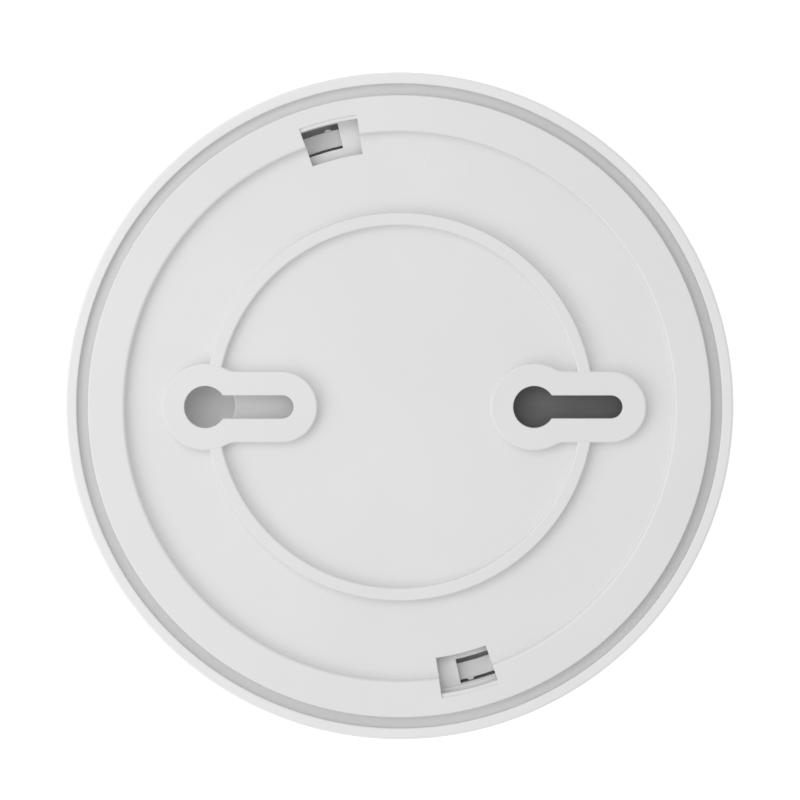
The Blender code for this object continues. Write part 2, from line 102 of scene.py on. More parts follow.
def filleted(corners, step=15.0):
    """A closed (r, z) outline; a corner given as (r, z, radius) is rounded."""
    out = []
    n = len(corners)
    for i, corner in enumerate(corners):
        p = Vector(corner[:2])
        radius = corner[2] if len(corner) > 2 else 0.0
        if radius <= 0:
            out.append((p.x, p.y))
            continue
        a = (Vector(corners[i - 1][:2]) - p)
        b = (Vector(corners[(i + 1) % n][:2]) - p)
        la, lb = a.length, b.length
        a.normalize()
        b.normalize()
        angle = a.angle(b)
        reach = radius / math.tan(angle / 2)
        limit = 0.49 * min(la, lb)
        if reach > limit:
            reach = limit
            radius = reach * math.tan(angle / 2)
        centre = p + (a + b).normalized() * (radius / math.sin(angle / 2))
        start, end = p + a * reach, p + b * reach
        t0 = math.atan2(start.y - centre.y, start.x - centre.x)
        t1 = math.atan2(end.y - centre.y, end.x - centre.x)
        turn = (t1 - t0 + math.pi) % (2 * math.pi) - math.pi
        count = max(2, int(abs(math.degrees(turn)) / step))
        for k in range(count + 1):
            t = t0 + turn * k / count
            out.append((centre.x + radius * math.cos(t), centre.y + radius * math.sin(t)))
    return out


def divided(outline, run):
    """The closed outline with every side longer than run cut into equal parts."""
    out = []
    for i, p in enumerate(outline):
        q = outline[(i + 1) % len(outline)]
        parts = max(1, math.ceil(math.dist(p, q) / run))
        out += [(p[0] + (q[0] - p[0]) * k / parts, p[1] + (q[1] - p[1]) * k / parts) for k in range(parts)]
    return out


def turned(name, profile, segments=FINE, at=(0.0, 0.0)):
    """A closed outline turned about the vertical line through at, in quads."""
    bm = bmesh.new()
    rings = []
    for r, z in profile:
        if abs(r) < 1e-7:
            rings.append([bm.verts.new((at[0], at[1], z))])
        else:
            rings.append([
                bm.verts.new((
                    at[0] + r * math.cos(2 * math.pi * k / segments),
                    at[1] + r * math.sin(2 * math.pi * k / segments), z))
                for k in range(segments)
            ])
    for a, b in zip(rings, rings[1:] + rings[:1]):
        if len(a) == 1 and len(b) == 1:
            continue
        for k in range(segments):
            j = (k + 1) % segments
            if len(a) == 1:
                bm.faces.new((a[0], b[j], b[k]))
            elif len(b) == 1:
                bm.faces.new((a[k], a[j], b[0]))
            else:
                bm.faces.new((a[k], a[j], b[j], b[k]))
    outward(bm)
    return from_bmesh(name, bm)


def loft(name, rings, at=(0.0, 0.0)):
    """A closed solid through rings of equal point count: [(outline, z), ...]."""
    bm = bmesh.new()
    made = [[bm.verts.new((at[0] + x, at[1] + y, z)) for x, y in outline] for outline, z in rings]
    for a, b in zip(made, made[1:]):
        n = len(a)
        for k in range(n):
            bm.faces.new((a[k], a[(k + 1) % n], b[(k + 1) % n], b[k]))
    bm.faces.new(list(reversed(made[0])))
    bm.faces.new(made[-1])
    outward(bm)
    return from_bmesh(name, bm)


def prisms(name, outlines, z0, z1):
    bm = bmesh.new()
    for outline in outlines:
        low = [bm.verts.new((x, y, z0)) for x, y in outline]
        high = [bm.verts.new((x, y, z1)) for x, y in outline]
        n = len(low)
        for k in range(n):
            bm.faces.new((low[k], low[(k + 1) % n], high[(k + 1) % n], high[k]))
        bm.faces.new(list(reversed(low)))
        bm.faces.new(high)
    outward(bm)
    return from_bmesh(name, bm)


def arc(cx, cy, r, a0, a1, n):
    steps = [math.radians(a0 + (a1 - a0) * i / n) for i in range(n + 1)]
    return [(cx + r * math.cos(a), cy + r * math.sin(a)) for a in steps]


def rectangle(x0, x1, y0, y1):
    return [(x0, y0), (x1, y0), (x1, y1), (x0, y1)]


def rounded_rectangle(x0, x1, y0, y1, r, n=6):
    return (
        arc(x1 - r, y1 - r, r, 0, 90, n) + arc(x0 + r, y1 - r, r, 90, 180, n)
        + arc(x0 + r, y0 + r, r, 180, 270, n) + arc(x1 - r, y0 + r, r, 270, 360, n)
    )


def sector(r0, r1, a0, a1, n=10, grow=0.0):
    """Ring sector; grow pushes all four sides out by that many millimetres."""
    g0 = math.degrees(grow / r0)
    g1 = math.degrees(grow / r1)
    return arc(0, 0, r1 + grow, a0 - g1, a1 + g1, n) + arc(0, 0, r0 - grow, a1 + g0, a0 - g0, n)


def lifted(outline):
    return [(x, y + PLAY_Y) for x, y in outline]


def nub(turn, inset=0.0):
    """Small raised tooth on the hook's outer side, seen from behind."""
    a0, a1, slope = 103.85 + turn, 105.45 + turn, 0.35
    return [(r * math.cos(math.radians(a)), r * math.sin(math.radians(a))) for r, a in (
        (51.5, a0), (51.75, a0), (52.2 - inset, a0 + slope), (52.2 - inset, a1 - slope), (51.75, a1), (51.5, a1))][::-1]


def disc(cx, cy, r, n=48):
    return arc(cx, cy, r, 0, 360 - 360 / n, n - 1)


def keyhole(cx, grow=0.0):
    head, half = HEAD_R + grow, SLOT_HALF + grow
    meet = math.degrees(math.asin(half / head))
    return arc(cx, 0, head, meet, 360 - meet, 44) + arc(cx + SLOT_RUN, 0, half, -90, 90, 20)


def keyhole_pad(cx, inset=0.0):
    fillet = PAD_FILLET + inset
    fy = PAD_HALF + PAD_FILLET
    fx = math.sqrt((PAD_R + PAD_FILLET) ** 2 - fy**2)
    meet = math.degrees(math.atan2(fy, fx))
    upper = arc(cx + fx, fy, fillet, 270, 180 + meet, 8)
    lower = [(x, -y) for x, y in reversed(upper)]
    return (
        arc(cx + PAD_RUN, 0, PAD_HALF - inset, -90, 90, 36) + upper
        + arc(cx, 0, PAD_R - inset, meet, 360 - meet, 60)[1:-1] + lower
    )


def edge_rings(outline_at, z_low, z_edge, radius, z_past, steps=4):
    """Rings of a cutter whose mouth is rounded by radius where it meets the face at z_edge."""
    rings = [(outline_at(0.0), z_low)]
    for k in range(steps + 1):
        t = math.pi / 2 * k / steps
        rings.append((outline_at(radius * (1 - math.cos(t))), z_edge - radius + radius * math.sin(t)))
    rings.append((outline_at(radius), z_past))
    return rings


def combined(obj, tool, operation):
    modifier = obj.modifiers.new("b", "BOOLEAN")
    modifier.operation = operation
    modifier.solver = "EXACT"
    modifier.object = tool
    graph = bpy.context.evaluated_depsgraph_get()
    mesh = bpy.data.meshes.new_from_object(obj.evaluated_get(graph))
    obj.modifiers.remove(modifier)
    old, obj.data = obj.data, mesh
    bpy.data.meshes.remove(old)
    mesh.name = obj.name
    bpy.data.objects.remove(tool, do_unlink=True)
    return obj


def merged(objects):
    """Separate solids gathered in one mesh, so one Boolean takes them all."""
    bm = bmesh.new()
    for obj in objects:
        bm.from_mesh(obj.data)
        mesh = obj.data
        bpy.data.objects.remove(obj, do_unlink=True)
        bpy.data.meshes.remove(mesh)
    return from_bmesh("tool", bm)


def joined(obj, *tools):
    for tool in tools:
        combined(obj, tool, "UNION")
    return obj


def cut(obj, *tools):
    for tool in tools:
        combined(obj, tool, "DIFFERENCE")
    return obj


def shade(obj, angle=30.0, curved_below=None):
    """Metres, and smooth normals that keep every flat exactly flat.

    A corner's normal is the mean over the faces round it that no sharp edge parts, each
    weighted by the area of the whole flat that it belongs to, so a fillet bends and the
    flat beside it doesn't. Under the height curved_below, where all faces are curved, the
    weight is the face's angle at the corner.
    """
    bm = bmesh.new()
    bm.from_mesh(obj.data)
    bmesh.ops.remove_doubles(bm, verts=bm.verts, dist=2e-4)
    bmesh.ops.dissolve_degenerate(bm, edges=bm.edges, dist=1e-5)
    bmesh.ops.triangulate(bm, faces=[f for f in bm.faces if len(f.verts) > 4], ngon_method="BEAUTY")
    bmesh.ops.dissolve_degenerate(bm, edges=bm.edges, dist=1e-5)
    loose = [v for v in bm.verts if not v.link_faces]
    bmesh.ops.delete(bm, geom=loose, context="VERTS")
    bm.faces.ensure_lookup_table()
    bm.normal_update()
    limit = math.cos(math.radians(angle))
    level = math.cos(math.radians(0.4))
    region = list(range(len(bm.faces)))

    def root(i):
        while region[i] != i:
            region[i] = region[region[i]]
            i = region[i]
        return i

    for edge in bm.edges:
        if len(edge.link_faces) == 2:
            f, g = edge.link_faces
            edge.smooth = f.normal.dot(g.normal) >= limit
            if f.normal.dot(g.normal) >= level:
                a, b = root(f.index), root(g.index)
                if a != b and bm.faces[a].normal.dot(bm.faces[b].normal) >= level:
                    region[b] = a
        else:
            edge.smooth = False
    area = {}
    for f in bm.faces:
        f.smooth = True
        area[root(f.index)] = area.get(root(f.index), 0.0) + f.calc_area()
    normals = {}
    for v in bm.verts:
        waiting = set(v.link_faces)
        while waiting:
            fan, grow = [], [waiting.pop()]
            while grow:
                f = grow.pop()
                fan.append(f)
                for e in f.edges:
                    if e.smooth and v in e.verts:
                        for g in e.link_faces:
                            if g in waiting:
                                waiting.discard(g)
                                grow.append(g)
            total = Vector((0, 0, 0))
            for f in fan:
                if curved_below is not None and v.co.z < curved_below:
                    total += f.normal * next(l for l in f.loops if l.vert is v).calc_angle()
                else:
                    total += f.normal * area[root(f.index)]
            if total.length < 1e-12:
                total = fan[0].normal.copy()
            total.normalize()
            for f in fan:
                normals[(f.index, v.index)] = total
    bmesh.ops.scale(bm, vec=(MM, MM, MM), verts=bm.verts)
    mesh = obj.data
    bm.to_mesh(mesh)
    bm.free()
    mesh.normals_split_custom_set([
        normals[(poly.index, mesh.loops[i].vertex_index)] for poly in mesh.polygons for i in poly.loop_indices])
    return obj


def paint(obj, mat):
    obj.data.materials.clear()
    obj.data.materials.append(mat)
    return obj


def put(obj, body, mat, node=None):
    """Material, body and the CAD node that the piece stands for."""
    paint(obj, mat)
    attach(obj, body)
    if node:
        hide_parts(node)
    return obj


# ------------------------------------------------------------------ materials
class Graph:
    def __init__(self, name):
        self.mat = bpy.data.materials.new(name)
        self.mat.use_nodes = True
        self.tree = self.mat.node_tree
        self.shader = self.tree.nodes["Principled BSDF"]
        self.coord = self.add("ShaderNodeTexCoord").outputs["Object"]

    def add(self, kind, **values):
        node = self.tree.nodes.new(kind)
        for key, value in values.items():
            if key in node.inputs:
                node.inputs[key].default_value = value
            else:
                setattr(node, key, value)
        return node

    def link(self, a, b):
        self.tree.links.new(a, b)

    def noise(self, scale, detail=2.0, rough=0.5, stretch=None, rotate=None):
        node = self.add("ShaderNodeTexNoise", Scale=scale, Detail=detail, Roughness=rough)
        source = self.coord
        if stretch or rotate:
            mapping = self.add("ShaderNodeMapping")
            mapping.inputs["Scale"].default_value = stretch or (1, 1, 1)
            mapping.inputs["Rotation"].default_value = rotate or (0, 0, 0)
            self.link(source, mapping.inputs["Vector"])
            source = mapping.outputs["Vector"]
        self.link(source, node.inputs["Vector"])
        return node.outputs["Fac"]

    def remap(self, value, low, high, start=0.3, end=0.7):
        node = self.add("ShaderNodeMapRange")
        node.inputs["From Min"].default_value = start
        node.inputs["From Max"].default_value = end
        node.inputs["To Min"].default_value = low
        node.inputs["To Max"].default_value = high
        self.link(value, node.inputs["Value"])
        return node.outputs["Result"]

    def mix(self, fac, a, b):
        node = self.add("ShaderNodeMix", data_type="RGBA")
        if isinstance(fac, float):
            node.inputs["Factor"].default_value = fac
        else:
            self.link(fac, node.inputs["Factor"])
        for value, socket in ((a, node.inputs[6]), (b, node.inputs[7])):
            if isinstance(value, tuple):
                socket.default_value = (*value, 1.0)
            else:
                self.link(value, socket)
        return node.outputs[2]

    def bump(self, height, distance, strength=1.0, normal=None):
        node = self.add("ShaderNodeBump", Strength=strength, Distance=distance)
        self.link(height, node.inputs["Height"])
        if normal is not None:
            self.link(normal, node.inputs["Normal"])
        return node.outputs["Normal"]


def moulded(name, colour, rough, tint=0.012, grain=0.35, seed=0.0):
    """Moulded plastic: faint flow variation, a fine eroded texture, tiny scuffs in the gloss."""
    g = Graph(name)
    s = g.shader
    broad = g.noise(28.0 + seed, 3.0, 0.55)
    lighter = tuple(min(1.0, c + tint) for c in colour)
    darker = tuple(max(0.0, c - tint) for c in colour)
    g.link(g.mix(g.remap(broad, 0.0, 1.0), darker, lighter), s.inputs["Base Color"])
    wear = g.noise(420.0, 4.0, 0.6)
    g.link(g.remap(wear, rough - 0.05, rough + 0.06), s.inputs["Roughness"])
    fine = g.noise(3600.0, 2.0, 0.6)
    soft = g.noise(130.0, 2.0, 0.5)
    first = g.bump(soft, 0.00006, 0.25)
    g.link(g.bump(fine, 0.00002, grain, first), s.inputs["Normal"])
    s.inputs["IOR"].default_value = 1.5
    return g.mat


# The covers' white ABS is set lighter than the bracket's (0.84 against 0.80) to lift the shade in the groove and the
# window strips: painted light.
WHITE_SHADE_LIFTED = moulded("abs_white", (0.84, 0.84, 0.838), 0.36)
WHITE_BRACKET = moulded("abs_white_bracket", (0.80, 0.80, 0.798), 0.36, seed=5.0)
WHITE_BUTTON = moulded("abs_white_button", (0.79, 0.79, 0.785), 0.36, seed=11.0)
BLACK_MOULDED = moulded("chamber_black", (0.014, 0.014, 0.014), 0.72, tint=0.003, grain=0.6)
EPOXY = moulded("epoxy_black", (0.022, 0.022, 0.024), 0.5, tint=0.004, grain=0.5)


def metal(name, colour, rough, brushed=(1, 1, 1)):
    g = Graph(name)
    s = g.shader
    s.inputs["Metallic"].default_value = 1.0
    stain = g.noise(300.0, 3.0, 0.6)
    g.link(g.mix(g.remap(stain, 0.0, 1.0), tuple(c * 0.88 for c in colour), colour), s.inputs["Base Color"])
    lines = g.noise(900.0, 2.0, 0.5, stretch=brushed)
    g.link(g.remap(lines, rough - 0.06, rough + 0.08), s.inputs["Roughness"])
    g.link(g.bump(lines, 0.00001, 0.4), s.inputs["Normal"])
    return g.mat


NICKEL = metal("nickel_plate", (0.66, 0.645, 0.61), 0.26)
BRASS = metal("brass_sheet", (0.73, 0.54, 0.24), 0.3, (1, 12, 1))
ZINC = metal("zinc_plate", (0.56, 0.56, 0.57), 0.34)


def jacket():
    """Plain dark film shrunk over a battery: slanting wrinkles, painted lighter in the base colour as a highlight, and
    a soft satin gloss.
    """
    g = Graph("battery_jacket")
    s = g.shader
    streak_and_sheen = g.noise(90.0, 3.0, 0.5, stretch=(0.35, 3.2, 1.0), rotate=(0, 0, math.radians(-38)))
    fleck = g.noise(700.0, 2.0, 0.6)
    # The lighter slanting streaks in the base colour are a painted highlight on the wrinkled film. The same streaks
    # also shape the real roughness and bump.
    base = g.mix(g.remap(streak_and_sheen, 0.0, 1.0, 0.42, 0.66), (0.165, 0.165, 0.165), (0.20, 0.20, 0.20))
    g.link(g.mix(g.remap(fleck, 0.0, 0.12), base, (0.21, 0.21, 0.21)), s.inputs["Base Color"])
    g.link(g.remap(streak_and_sheen, 0.42, 0.56), s.inputs["Roughness"])
    g.link(g.bump(streak_and_sheen, 0.00004, 0.4), s.inputs["Normal"])
    return g.mat


def circuit_green():
    """Solder mask over copper: darker mask, paler tracks on a square grid, fibre weave under it."""
    g = Graph("solder_mask")
    s = g.shader
    brick = g.add("ShaderNodeTexBrick", Scale=260.0)
    brick.inputs["Color1"].default_value = (0.020, 0.115, 0.05, 1)
    brick.inputs["Color2"].default_value = (0.016, 0.095, 0.042, 1)
    brick.inputs["Mortar"].default_value = (0.045, 0.20, 0.085, 1)
    brick.inputs["Mortar Size"].default_value = 0.06
    brick.inputs["Bias"].default_value = -0.2
    g.link(g.coord, brick.inputs["Vector"])
    weave = g.noise(2400.0, 1.0, 0.4)
    g.link(g.mix(g.remap(weave, 0.0, 0.18), brick.outputs["Color"], (0.05, 0.16, 0.08)), s.inputs["Base Color"])
    s.inputs["Roughness"].default_value = 0.38
    g.link(g.bump(brick.outputs["Fac"], 0.00003, 0.5), s.inputs["Normal"])
    return g.mat


def screen_mesh():
    """Fine woven steel wire."""
    g = Graph("woven_wire")
    s = g.shader
    s.inputs["Metallic"].default_value = 1.0
    a = g.add("ShaderNodeTexWave", Scale=900.0, bands_direction="Z")
    b = g.add("ShaderNodeTexWave", Scale=900.0, bands_direction="DIAGONAL")
    for w in (a, b):
        g.link(g.coord, w.inputs["Vector"])
    g.link(g.mix(0.5, a.outputs["Color"], b.outputs["Color"]), s.inputs["Base Color"])
    s.inputs["Roughness"].default_value = 0.35
    g.link(g.bump(a.outputs["Fac"], 0.0001, 0.7), s.inputs["Normal"])
    return g.mat


def tinted(name, colour, rough, transmission=0.0):
    g = Graph(name)
    s = g.shader
    cloud = g.noise(500.0, 2.0, 0.5)
    g.link(g.mix(g.remap(cloud, 0.0, 1.0), tuple(c * 0.93 for c in colour), colour), s.inputs["Base Color"])
    g.link(g.remap(cloud, rough, rough + 0.05), s.inputs["Roughness"])
    s.inputs["Transmission Weight"].default_value = transmission
    s.inputs["IOR"].default_value = 1.49
    return g.mat


JACKET = jacket()
GREEN = circuit_green()
WIRE = screen_mesh()
CLEAR = tinted("clear_acrylic", (0.90, 0.93, 0.93), 0.08, 0.9)
RED = tinted("red_epoxy", (0.55, 0.03, 0.02), 0.14, 0.3)
DARK_LENS = tinted("dark_epoxy", (0.03, 0.014, 0.03), 0.12)
CERAMIC = tinted("silvered_ceramic", (0.74, 0.72, 0.67), 0.36)
SLEEVE = tinted("shrink_sleeve", (0.018, 0.028, 0.11), 0.3)
FERRITE = moulded("ferrite", (0.05, 0.048, 0.046), 0.62, tint=0.01, grain=0.8)

# ------------------------------------------------------------------ bracket
bracket = turned("bracket_moulding", divided(filleted([
    (0, RECESS_Z),
    (RIB_R0 - 0.24, RECESS_Z, 0.2), (RIB_R0 - 0.12, RIB_Z, 0.36),
    (RIB_R1 + 0.12, RIB_Z, 0.22), (RIB_R1 + 0.22, RECESS_Z, 0.2),
    (STEP_R - 0.36, RECESS_Z, 0.25), (STEP_R - 0.2, 0, 0.56),
    (BRACKET_R + 0.09, 0, 0.27), (BRACKET_R + 0.09, SKIRT_Z, 0.12),
    (BRACKET_R - 1.35, SKIRT_Z), (BRACKET_R - 1.35, RING_UNDER_Z),
    (STEP_R + 1.8, RING_UNDER_Z), (STEP_R + 0.8, RECESS_UNDER_Z), (0, RECESS_UNDER_Z),
]), 2.4))
pads = []
for x in KEYHOLE_X:
    rings = [(keyhole_pad(x, -0.25), -3.1), (keyhole_pad(x, -0.25), RECESS_Z - 0.03)]
    for k in range(1, 5):                      # hollow fillet at the foot
        t = math.pi / 2 * k / 4
        rings.append((keyhole_pad(x, -0.25 * (1 - math.sin(t))), RECESS_Z + 0.25 * (1 - math.cos(t))))
    for k in range(6):                         # rounded top edge
        t = math.pi / 2 * k / 5
        rings.append((keyhole_pad(x, 0.34 * (1 - math.cos(t))), PAD_Z - 0.34 + 0.34 * math.sin(t)))
    pads.append(loft("pad", rings))
# faint raised witness marks of the ejector pins
for x, y, r in ((8.75, 43.3, 4.25), (33.5, -29.2, 4.2)):
    pads.append(loft("pin", [(disc(x, y, r + d, 72), RECESS_Z + z) for d, z in (
        (0.5, -0.3), (0.5, -0.02), (0.25, 0.0), (0.12, 0.018), (-0.05, 0.032), (-0.3, 0.036))]))
joined(bracket, merged(pads))
cut(
    bracket,
    prisms("hollows", [keyhole_pad(x, PAD_WALL) for x in KEYHOLE_X], -5, PAD_UNDER_Z),
    merged([loft("keyhole", edge_rings(lambda g, x=x: keyhole(x, g), -5, PAD_Z, 0.2, 1)) for x in KEYHOLE_X]),
    merged([loft("window", edge_rings(
        lambda g, t=t: sector(WINDOW[0], LIP_R, WINDOW[2] + t, WINDOW[3] + t, 12, g), -5, LIP_Z, 0.12, -0.1))
        for t in HALF_TURN]),
    merged([loft("window_lip", edge_rings(
        lambda g, t=t: sector(WINDOW[0] + 2.0, WINDOW[1], WINDOW[2] + t, WINDOW[3] + t, 12, g), LIP_Z, 0, 0.14, 1))
        for t in HALF_TURN]),
    merged([loft("window_foot", [
        (sector(WINDOW[0], STEP_R - 1.2, WINDOW[2] + t, WINDOW[3] + t, 12, g), RECESS_Z + z)
        for g, z in ((-0.01, -0.9), (-0.01, -0.16), (0.06, -0.04), (0.16, 0.0), (0.16, 0.4))])
        for t in HALF_TURN]),
)
hooks = []
for turn in HALF_TURN:
    tip, near, far = (a + turn for a in HOOK_A)
    hook = loft("hook", [
        (sector(*HOOK_R, tip, far, 12, g), z) for g, z in
        ((-0.2, HOOK_Z[0]), (-0.06, HOOK_Z[0] + 0.06), (0.0, HOOK_Z[0] + 0.2),
         (0.0, HOOK_Z[1] - 0.2), (-0.06, HOOK_Z[1] - 0.06), (-0.2, HOOK_Z[1]))])
    joined(
        hook,
        prisms("arm", [sector(HOOK_R[0] + 0.02, HOOK_R[1] - 0.02, near, far - 0.03, 6)], HOOK_Z[0] + 0.5, -2.45),
        loft("nub", [(nub(turn, g), z) for g, z in (
            (0.0, HOOK_Z[0] + 0.25), (0.0, HOOK_Z[1] - 0.3), (0.12, HOOK_Z[1] - 0.12))]),
    )
    hooks.append(hook)
joined(bracket, merged(hooks))
shade(bracket)
put(bracket, "base", WHITE_BRACKET, "mounting_bracket")

# ------------------------------------------------------------------ rear cover
rear = turned("rear_cover_shell", divided(filleted([
    (0, GROOVE_Z), (REAR_R + 0.36, GROOVE_Z),
    (REAR_R + 0.36, -4.6), (54.8, -4.6, 0.3), (54.3, REAR_UNDER), (0, REAR_UNDER),
]), 2.6))
joined(
    rear,
    prisms("bay", [rounded_rectangle(
        BAY_X[0] - BAY_WALL, BAY_X[1] + BAY_WALL, BAY_Y[0] - BAY_WALL, BAY_Y[1] + BAY_WALL, 3.0)],
        BAY_FLOOR - BAY_WALL, -5.4),
    prisms("bosses", [disc(x, y, 3.2, 32) for x, y in BOSSES], BOARD_TOP + FIT, -5.6),
    prisms("tongues", [sector(55.5, 56.7, a - 5, a + 5, 6) for a in SNAP_ANGLES], -8.2, -3.4),
    prisms("barbs", [sector(56.0, 58.2, a - 4.6, a + 4.6, 6) for a in SNAP_ANGLES], -8.0, -6.8),
    prisms("catch_walls", [lifted(sector(
        SLOT_R[0] - CATCH_WALL, SLOT_R[1] + CATCH_WALL, CATCH_A + t - 1.3, SLOT_A[1] + t + 1.3, 16))
        for t in HALF_TURN], CATCH_FLOOR - 1.0, -5.4),
    prisms("dimple_wall", [disc(KEYHOLE_X[0], 0, DIMPLE_R + 1.2, 48)], DIMPLE_FLOOR - 1.2, -5.4),
)
# the pocket behind the bracket, its mouth rounded
cut(rear, loft("pocket", edge_rings(
    lambda g: disc(0, PLAY_Y, POCKET_R + g, 200), REAR_TOP, GROOVE_Z, 0.2, 1.0)))
cut(
    rear,
    loft("bay_inside", edge_rings(
        lambda g: rounded_rectangle(BAY_X[0] - g, BAY_X[1] + g, BAY_Y[0] - g, BAY_Y[1] + g, 1.6 + g, 6),
        BAY_FLOOR, REAR_TOP, 0.25, -1)),
    prisms("boss_holes", [disc(x, y, 1.5, 24) for x, y in BOSSES], -13, -6.9),
    prisms("contact_slots", [rectangle(x - 1.4, x + 1.4, 26.5, 30.0) for x in TERMINALS_X], -12.5, -11.1),
    loft("dimple", edge_rings(
        lambda g: disc(KEYHOLE_X[0], 0, DIMPLE_R + g, 72), DIMPLE_FLOOR, REAR_TOP, 0.3, -3.2)),
    prisms("catches", [lifted(sector(*SLOT_R, CATCH_A + t, SLOT_A[1] + t, 16)) for t in HALF_TURN],
           CATCH_FLOOR, REAR_UNDER),
    merged([loft("hook_slot", edge_rings(
        lambda g, t=t: lifted(sector(*SLOT_R, SLOT_A[0] + t, SLOT_A[1] + t, 16, g - 0.01)),
        -7, REAR_TOP, 0.15, -2.9)) for t in HALF_TURN]),
)
shade(rear)
put(rear, "detector", WHITE_SHADE_LIFTED, "rear_cover")

# ------------------------------------------------------------------ front cover
OUTER = [(61.0, -2.9), (61.0, -5.0), (60.7, -12.0), (60.35, -18.0), (59.9, -23.6), (59.3, -26.2),
         (58.2, -28.4), (56.8, -30.2), (55.0, -31.6), (52.6, -32.9), (49.8, -33.9), (45.6, -34.75),
         (41.0, -35.3), (34.0, -35.75), (26.0, -36.0), (18.0, -36.12)]
INNER = [(18.0, -34.12), (26.0, -34.0), (34.0, -33.7), (40.8, -33.2), (45.2, -32.65), (48.9, -31.9),
         (51.6, -30.95), (53.7, -29.7), (55.3, -28.5), (56.4, -27.0), (57.3, -25.2), (57.9, -23.2),
         (58.35, -18.0), (58.7, -12.0), (58.9, -6.6)]


def spline(points, per=4):
    """Catmull-Rom through the points."""
    out = []
    for i in range(len(points) - 1):
        p0 = Vector(points[max(i - 1, 0)])
        p1, p2 = Vector(points[i]), Vector(points[i + 1])
        p3 = Vector(points[min(i + 2, len(points) - 1)])
        for k in range(per):
            t = k / per
            v = 0.5 * ((2 * p1) + (p2 - p0) * t + (2 * p0 - 5 * p1 + 4 * p2 - p3) * t * t
                       + (3 * p1 - p0 - 3 * p2 + p3) * t**3)
            out.append((v.x, v.y))
    return out + [tuple(points[-1])]


def radius_at(curve, z):
    """Radius of a side curve at height z."""
    for (r0, z0), (r1, z1) in zip(curve, curve[1:]):
        if min(z0, z1) <= z <= max(z0, z1) and abs(z1 - z0) > 1e-9:
            return r0 + (r1 - r0) * (z - z0) / (z1 - z0)
    return curve[0][0]


def front_shell():
    """The domed cover in quads: turned above and below, and a band of rounded inlet slots."""
    around, per_cell, ends = INLETS * 12, 12, 6
    outer = spline(OUTER, 6)
    inner = spline(list(reversed(INNER)), 6)
    top, low = -15.4, -24.6
    mid = (INLET_ROWS[0][0] + INLET_ROWS[1][1]) / 2
    bm = bmesh.new()

    def at(angle, z, depth):
        """depth 0 on the outside face, 1 on the inside face."""
        r = radius_at(outer, z) * (1 - depth) + radius_at(inner, z) * depth
        a = math.radians(angle)
        return bm.verts.new((r * math.cos(a), r * math.sin(a), z))

    def revolve_strip(points):
        rings = [[bm.verts.new((r * math.cos(2 * math.pi * k / around), r * math.sin(2 * math.pi * k / around), z))
                  for k in range(around)] for r, z in points]
        for a, b in zip(rings, rings[1:]):
            for k in range(around):
                j = (k + 1) % around
                bm.faces.new((a[k], a[j], b[j], b[k]))

    # rim, inside wall and ledge, down to the band on both faces
    upper = [p for p in outer if p[1] > top]
    crown = [(60.45 + 0.55 * math.sin(math.pi / 2 * k / 8), -0.8 - 0.75 * (1 - math.cos(math.pi / 2 * k / 8))) for k in range(9)]
    wall_in = [p for p in inner if p[1] > top]
    strip = ([(radius_at(inner, top), top)] + list(reversed(wall_in))
             + [(57.0, -6.2), (57.0, -5.0), (58.9, -5.0)]
             + [(58.9, -1.1), (58.923, -0.985), (58.988, -0.888), (59.085, -0.823), (59.2, -0.8)] + crown
             + [p for p in upper if p[1] < -2.95] + [(radius_at(outer, top), top)])
    revolve_strip(strip)
    # below the band: shoulder, face, button opening, and back up the inside
    full_out = spline(OUTER, 5)
    full_in = spline(INNER, 5)
    hole = 12.3
    lower = ([(radius_at(outer, low), low)] + [p for p in full_out if p[1] < low - 0.15]
             + [(15.5, -36.15), (13.0, -36.18), (12.6, -36.1), (12.4, -35.98), (hole, -35.8),
                (hole, -34.4), (12.6, -34.2), (15.5, -34.16)]
             + [p for p in full_in if p[1] < low - 0.15] + [(radius_at(inner, low), low)])
    revolve_strip(lower)

    pitch = 360.0 / INLETS
    for cell in range(INLETS):
        c = pitch * (cell + 0.5)
        for (z0, z1), (b0, b1) in ((INLET_ROWS[0], (mid, top)), (INLET_ROWS[1], (low, mid))):
            half_a, half_z, zc = pitch / 2 - 1.6, (z1 - z0) / 2, (z0 + z1) / 2
            # outside boundary of the cell, anticlockwise from its low left corner
            frame_pts = (
                [(-pitch / 2 + pitch * k / per_cell, b0) for k in range(per_cell)]
                + [(pitch / 2, b0 + (b1 - b0) * k / ends) for k in range(ends)]
                + [(pitch / 2 - pitch * k / per_cell, b1) for k in range(per_cell)]
                + [(-pitch / 2, b1 - (b1 - b0) * k / ends) for k in range(ends)]
            )

            def slot_ring(grow):
                rz = half_z + grow
                ra = math.degrees(rz / 60.0)
                run = half_a + math.degrees(grow / 60.0) - ra
                pts = [(-run + 2 * run * k / per_cell, zc - rz) for k in range(per_cell)]
                pts += [(run + ra * math.sin(math.pi * k / ends), zc - rz * math.cos(math.pi * k / ends)) for k in range(ends)]
                pts += [(run - 2 * run * k / per_cell, zc + rz) for k in range(per_cell)]
                pts += [(-run - ra * math.sin(math.pi * k / ends), zc + rz * math.cos(math.pi * k / ends)) for k in range(ends)]
                return pts

            r = 0.28
            thickness = 2.0
            levels = [(frame_pts, 0.0)]
            levels += [(slot_ring(r * (1 - math.sin(math.pi / 2 * k / 4))), r * (1 - math.cos(math.pi / 2 * k / 4)) / thickness)
                       for k in range(5)]
            levels += [(slot_ring(0.0), 1.0), (frame_pts, 1.0)]
            made = [[at(c + a, z, depth) for a, z in pts] for pts, depth in levels]
            for a_ring, b_ring in zip(made, made[1:]):
                n = len(a_ring)
                for k in range(n):
                    bm.faces.new((a_ring[k], a_ring[(k + 1) % n], b_ring[(k + 1) % n], b_ring[k]))
    bmesh.ops.remove_doubles(bm, verts=bm.verts, dist=2e-4)
    outward(bm)
    return from_bmesh("front_cover_shell", bm)


